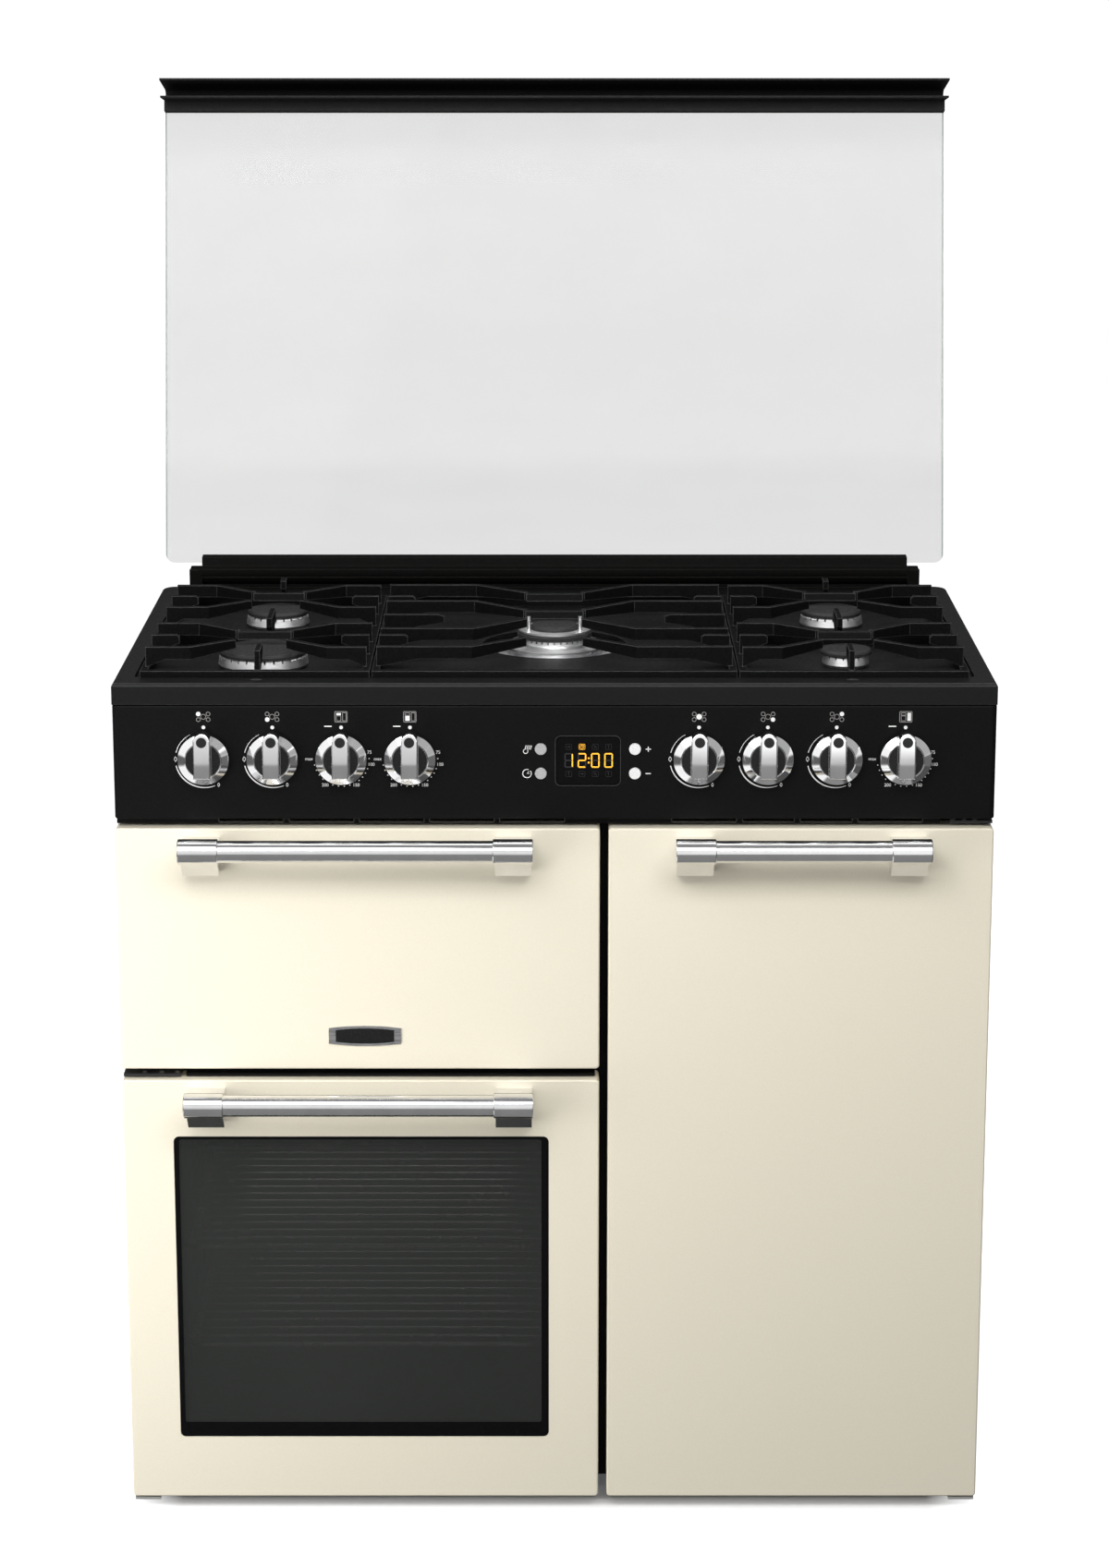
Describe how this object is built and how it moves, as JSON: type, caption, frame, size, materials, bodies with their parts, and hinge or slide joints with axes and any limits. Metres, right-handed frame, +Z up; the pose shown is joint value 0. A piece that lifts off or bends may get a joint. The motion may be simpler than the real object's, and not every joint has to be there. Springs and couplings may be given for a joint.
{
  "type": "range cooker",
  "caption": "Free-standing range cooker: gas hob with cast pan supports and glass lid, drop-down grill, side-hung ovens, turning knobs and a clock panel.",
  "frame": {"origin": "on the floor, under the middle of the outline with the lid open", "axes": "+X to the user's right, +Y to the back, +Z up; the doors face -Y"},
  "size_m": [0.9, 0.7267, 1.4776],
  "materials": {
    "enamel_black": "gloss enamel",
    "cream_enamel": "gloss enamel",
    "sheet_steel": "satin paint",
    "galvanised": "satin",
    "oven_enamel": "speckled enamel",
    "chrome": "polished",
    "steel": "brushed",
    "aluminium": "polished cast",
    "cast_iron": "matt enamel",
    "black_plastic": "gloss",
    "grey_plastic": "satin",
    "white_plastic": "satin",
    "smoked_glass": "clear, dark",
    "lid_glass": "clear, pale",
    "seal_rubber": "matt",
    "brass": "machined",
    "ceramic": "glazed ceramic"
  },
  "bodies": {
    "cabinet": {"base_chassis": "galvanised", "cabinet_panels": "sheet_steel", "levelling_feet": "black_plastic", "front_frame": "enamel_black", "grill_cavity": "oven_enamel", "main_oven_cavity": "oven_enamel", "tall_oven_cavity": "oven_enamel", "oven_door_seals": "seal_rubber", "fan_baffles": "oven_enamel", "fan_motors": "galvanised", "heating_elements": "steel", "oven_shelves": "chrome", "shelf_side_racks": "chrome", "door_hinge_plates": "enamel_black", "control_panel": "enamel_black", "clock_module": "black_plastic", "gas_rail": "brass", "oven_regulators": "steel", "hob_top": "enamel_black", "burner_crowns": "aluminium", "burner_caps": "cast_iron", "wok_burner": "aluminium", "ignition_electrodes": "ceramic", "pan_support_left": "cast_iron", "pan_support_center": "cast_iron", "pan_support_right": "cast_iron", "lid_hinge_base": "enamel_black"},
    "grill_door": {"grill_door_panel": "cream_enamel", "grill_door_liner": "oven_enamel", "grill_door_handle": "chrome", "grill_door_badge": "steel"},
    "main_door": {"main_door_panel": "cream_enamel", "main_door_liner": "oven_enamel", "main_door_handle": "chrome", "main_door_glass": "smoked_glass"},
    "tall_door": {"tall_door_panel": "cream_enamel", "tall_door_liner": "oven_enamel", "tall_door_handle": "chrome"},
    "lid": {"lid_glass": "lid_glass", "lid_hinge_rail": "enamel_black", "lid_front_trim": "enamel_black"},
    "main_fan": {"main_oven_fan": "steel"},
    "tall_fan": {"tall_oven_fan": "steel"},
    "rear_left_spindle": {"rear_left_tap_spindle": "steel"},
    "rear_left_gas_knob": {"rear_left_knob": "chrome"},
    "front_left_spindle": {"front_left_tap_spindle": "steel"},
    "front_left_gas_knob": {"front_left_knob": "chrome"},
    "wok_spindle": {"wok_tap_spindle": "steel"},
    "wok_gas_knob": {"wok_knob": "chrome"},
    "front_right_spindle": {"front_right_tap_spindle": "steel"},
    "front_right_gas_knob": {"front_right_knob": "chrome"},
    "rear_right_spindle": {"rear_right_tap_spindle": "steel"},
    "rear_right_gas_knob": {"rear_right_knob": "chrome"},
    "grill_control": {"grill_knob": "chrome"},
    "main_oven_control": {"main_oven_knob": "chrome"},
    "tall_oven_control": {"tall_oven_knob": "chrome"},
    "clock_upper_left": {"clock_button_upper_left": "grey_plastic"},
    "clock_lower_left": {"clock_button_lower_left": "grey_plastic"},
    "clock_upper_right": {"clock_button_upper_right": "white_plastic"},
    "clock_lower_right": {"clock_button_lower_right": "white_plastic"}
  },
  "joints": [
    {"name": "lid_hinge", "type": "hinge", "parent": "cabinet", "child": "lid", "pos_m": [0, 0.223, 0.925], "axis": [1, 0, 0], "range_deg": [0, 103]},
    {"name": "grill_door_hinge", "type": "hinge", "parent": "cabinet", "child": "grill_door", "pos_m": [-0.20175, -0.293, 0.5023], "axis": [1, 0, 0], "range_deg": [0, 90]},
    {"name": "main_door_hinge", "type": "hinge", "parent": "cabinet", "child": "main_door", "pos_m": [-0.441, -0.285, 0.25], "axis": [0, 0, -1], "range_deg": [0, 100]},
    {"name": "tall_door_hinge", "type": "hinge", "parent": "cabinet", "child": "tall_door", "pos_m": [0.441, -0.285, 0.385], "axis": [0, 0, 1], "range_deg": [0, 100]},
    {"name": "rear_left_knob_push", "type": "slide", "parent": "cabinet", "child": "rear_left_spindle", "axis": [0, 1, 0], "range_m": [0, 0.004], "stiffness_N_per_m": 1500, "springref_m": -0.001},
    {"name": "rear_left_knob_turn", "type": "hinge", "parent": "rear_left_spindle", "child": "rear_left_gas_knob", "pos_m": [-0.357, -0.31, 0.828], "axis": [0, -1, 0], "range_deg": [0, 210]},
    {"name": "front_left_knob_push", "type": "slide", "parent": "cabinet", "child": "front_left_spindle", "axis": [0, 1, 0], "range_m": [0, 0.004], "stiffness_N_per_m": 1500, "springref_m": -0.001},
    {"name": "front_left_knob_turn", "type": "hinge", "parent": "front_left_spindle", "child": "front_left_gas_knob", "pos_m": [-0.287, -0.31, 0.828], "axis": [0, -1, 0], "range_deg": [0, 210]},
    {"name": "wok_knob_push", "type": "slide", "parent": "cabinet", "child": "wok_spindle", "axis": [0, 1, 0], "range_m": [0, 0.004], "stiffness_N_per_m": 1500, "springref_m": -0.001},
    {"name": "wok_knob_turn", "type": "hinge", "parent": "wok_spindle", "child": "wok_gas_knob", "pos_m": [0.147, -0.31, 0.828], "axis": [0, -1, 0], "range_deg": [0, 210]},
    {"name": "front_right_knob_push", "type": "slide", "parent": "cabinet", "child": "front_right_spindle", "axis": [0, 1, 0], "range_m": [0, 0.004], "stiffness_N_per_m": 1500, "springref_m": -0.001},
    {"name": "front_right_knob_turn", "type": "hinge", "parent": "front_right_spindle", "child": "front_right_gas_knob", "pos_m": [0.217, -0.31, 0.828], "axis": [0, -1, 0], "range_deg": [0, 210]},
    {"name": "rear_right_knob_push", "type": "slide", "parent": "cabinet", "child": "rear_right_spindle", "axis": [0, 1, 0], "range_m": [0, 0.004], "stiffness_N_per_m": 1500, "springref_m": -0.001},
    {"name": "rear_right_knob_turn", "type": "hinge", "parent": "rear_right_spindle", "child": "rear_right_gas_knob", "pos_m": [0.287, -0.31, 0.828], "axis": [0, -1, 0], "range_deg": [0, 210]},
    {"name": "grill_knob_turn", "type": "hinge", "parent": "cabinet", "child": "grill_control", "pos_m": [-0.217, -0.31, 0.828], "axis": [0, 1, 0], "range_deg": [0, 280]},
    {"name": "main_oven_knob_turn", "type": "hinge", "parent": "cabinet", "child": "main_oven_control", "pos_m": [-0.147, -0.31, 0.828], "axis": [0, 1, 0], "range_deg": [0, 280]},
    {"name": "tall_oven_knob_turn", "type": "hinge", "parent": "cabinet", "child": "tall_oven_control", "pos_m": [0.357, -0.31, 0.828], "axis": [0, 1, 0], "range_deg": [0, 280]},
    {"name": "clock_upper_left_press", "type": "slide", "parent": "cabinet", "child": "clock_upper_left", "axis": [0, 1, 0], "range_m": [0, 0.0012], "stiffness_N_per_m": 1200, "springref_m": -0.0008},
    {"name": "clock_lower_left_press", "type": "slide", "parent": "cabinet", "child": "clock_lower_left", "axis": [0, 1, 0], "range_m": [0, 0.0012], "stiffness_N_per_m": 1200, "springref_m": -0.0008},
    {"name": "clock_upper_right_press", "type": "slide", "parent": "cabinet", "child": "clock_upper_right", "axis": [0, 1, 0], "range_m": [0, 0.0012], "stiffness_N_per_m": 1200, "springref_m": -0.0008},
    {"name": "clock_lower_right_press", "type": "slide", "parent": "cabinet", "child": "clock_lower_right", "axis": [0, 1, 0], "range_m": [0, 0.0012], "stiffness_N_per_m": 1200, "springref_m": -0.0008},
    {"name": "main_fan_spin", "type": "hinge", "parent": "cabinet", "child": "main_fan", "pos_m": [-0.202, 0.127, 0.255], "axis": [0, 1, 0], "continuous": true},
    {"name": "tall_fan_spin", "type": "hinge", "parent": "cabinet", "child": "tall_fan", "pos_m": [0.253, 0.127, 0.385], "axis": [0, 1, 0], "continuous": true}
  ]
}
